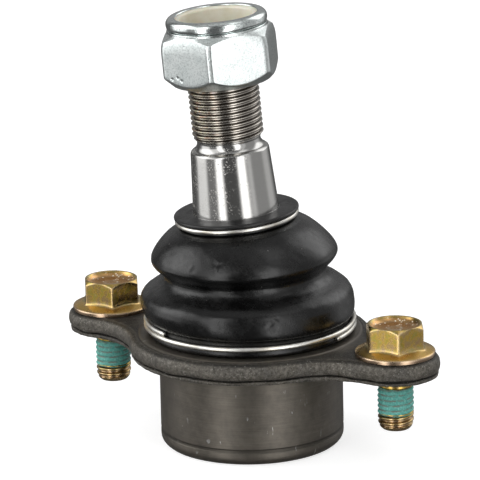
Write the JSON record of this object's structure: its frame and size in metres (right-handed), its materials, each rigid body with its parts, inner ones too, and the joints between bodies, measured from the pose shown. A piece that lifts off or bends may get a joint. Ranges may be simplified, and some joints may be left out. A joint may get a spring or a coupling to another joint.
{
  "type": "suspension ball joint",
  "caption": "Suspension ball joint: a round steel housing with a two-eared bolt-on flange, a bellows rubber boot and a leaning tapered stud with a locking nut.",
  "frame": {"origin": "the ball's centre, which is also the middle of the flange's underside on the housing's axis", "axes": "+Z along the housing's axis towards the stud, X through the two bolts; the stud leans 4.5 degrees towards -X and -Y, as in the picture"},
  "size_m": [0.12, 0.069, 0.125],
  "materials": {
    "forged_steel": "phosphated forging with a fine grain, spigot turned smooth",
    "plate_steel": "plain pressed steel",
    "spring_steel": "oiled spring steel",
    "bearing_plastic": "moulded bearing plastic",
    "ground_steel": "ground steel, polished taper, oiled thread",
    "boot_rubber": "satin black rubber",
    "wire_steel": "bright drawn wire",
    "ring_rubber": "rubber coated steel, satin",
    "zinc_plate": "bright zinc plate",
    "nylon": "cream nylon",
    "yellow_zinc": "yellow passivated zinc plate",
    "threadlock_coat": "dry threadlocking coat"
  },
  "bodies": {
    "housing": {"housing": "forged_steel", "closing_plate": "plate_steel", "preload_spring": "spring_steel", "lower_bearing": "bearing_plastic", "upper_bearing": "bearing_plastic", "lower_clamp_wire": "wire_steel"},
    "boot": {"boot": "boot_rubber"},
    "collar": {"sealing_ring": "ring_rubber", "upper_clamp_wire": "wire_steel"},
    "stud": {"ball_stud": "ground_steel"},
    "nut_travel": {"nylon_insert": "nylon"},
    "nut": {"lock_nut": "zinc_plate"},
    "bolt_left": {"flange_bolt_left": "yellow_zinc", "threadlock_left": "threadlock_coat"},
    "bolt_right": {"flange_bolt_right": "yellow_zinc", "threadlock_right": "threadlock_coat"}
  },
  "joints": [
    {"name": "swivel", "type": "hinge", "parent": "housing", "child": "boot", "pos_m": [0, 0, 0], "axis": [0, 0, 1], "continuous": true},
    {"name": "tilt", "type": "hinge", "parent": "boot", "child": "collar", "pos_m": [0, 0, 0], "axis": [0.5446, -0.8387, 0], "range_deg": [-24.5, 15.5], "deforming": ["boot"]},
    {"name": "spin", "type": "hinge", "parent": "collar", "child": "stud", "pos_m": [0, 0, 0], "axis": [-0.0658, -0.0427, 0.9969], "continuous": true},
    {"name": "nut_slide", "type": "slide", "parent": "stud", "child": "nut_travel", "axis": [-0.0658, -0.0427, 0.9969], "range_m": [-0.0151, 0.0121]},
    {"name": "nut_turn", "type": "hinge", "parent": "nut_travel", "child": "nut", "pos_m": [-0.00582, -0.00378, 0.08823], "axis": [-0.0658, -0.0427, 0.9969], "range_deg": [-3600, 2880]},
    {"name": "bolt_left_turn", "type": "hinge", "parent": "housing", "child": "bolt_left", "pos_m": [-0.0475, 0, 0], "axis": [0, 0, 1], "continuous": true},
    {"name": "bolt_right_turn", "type": "hinge", "parent": "housing", "child": "bolt_right", "pos_m": [0.0475, 0, 0], "axis": [0, 0, 1], "continuous": true}
  ],
  "couplings": [
    {"joint": "nut_slide", "follows": "nut_turn", "m_per_rad": 0.00023873}
  ]
}
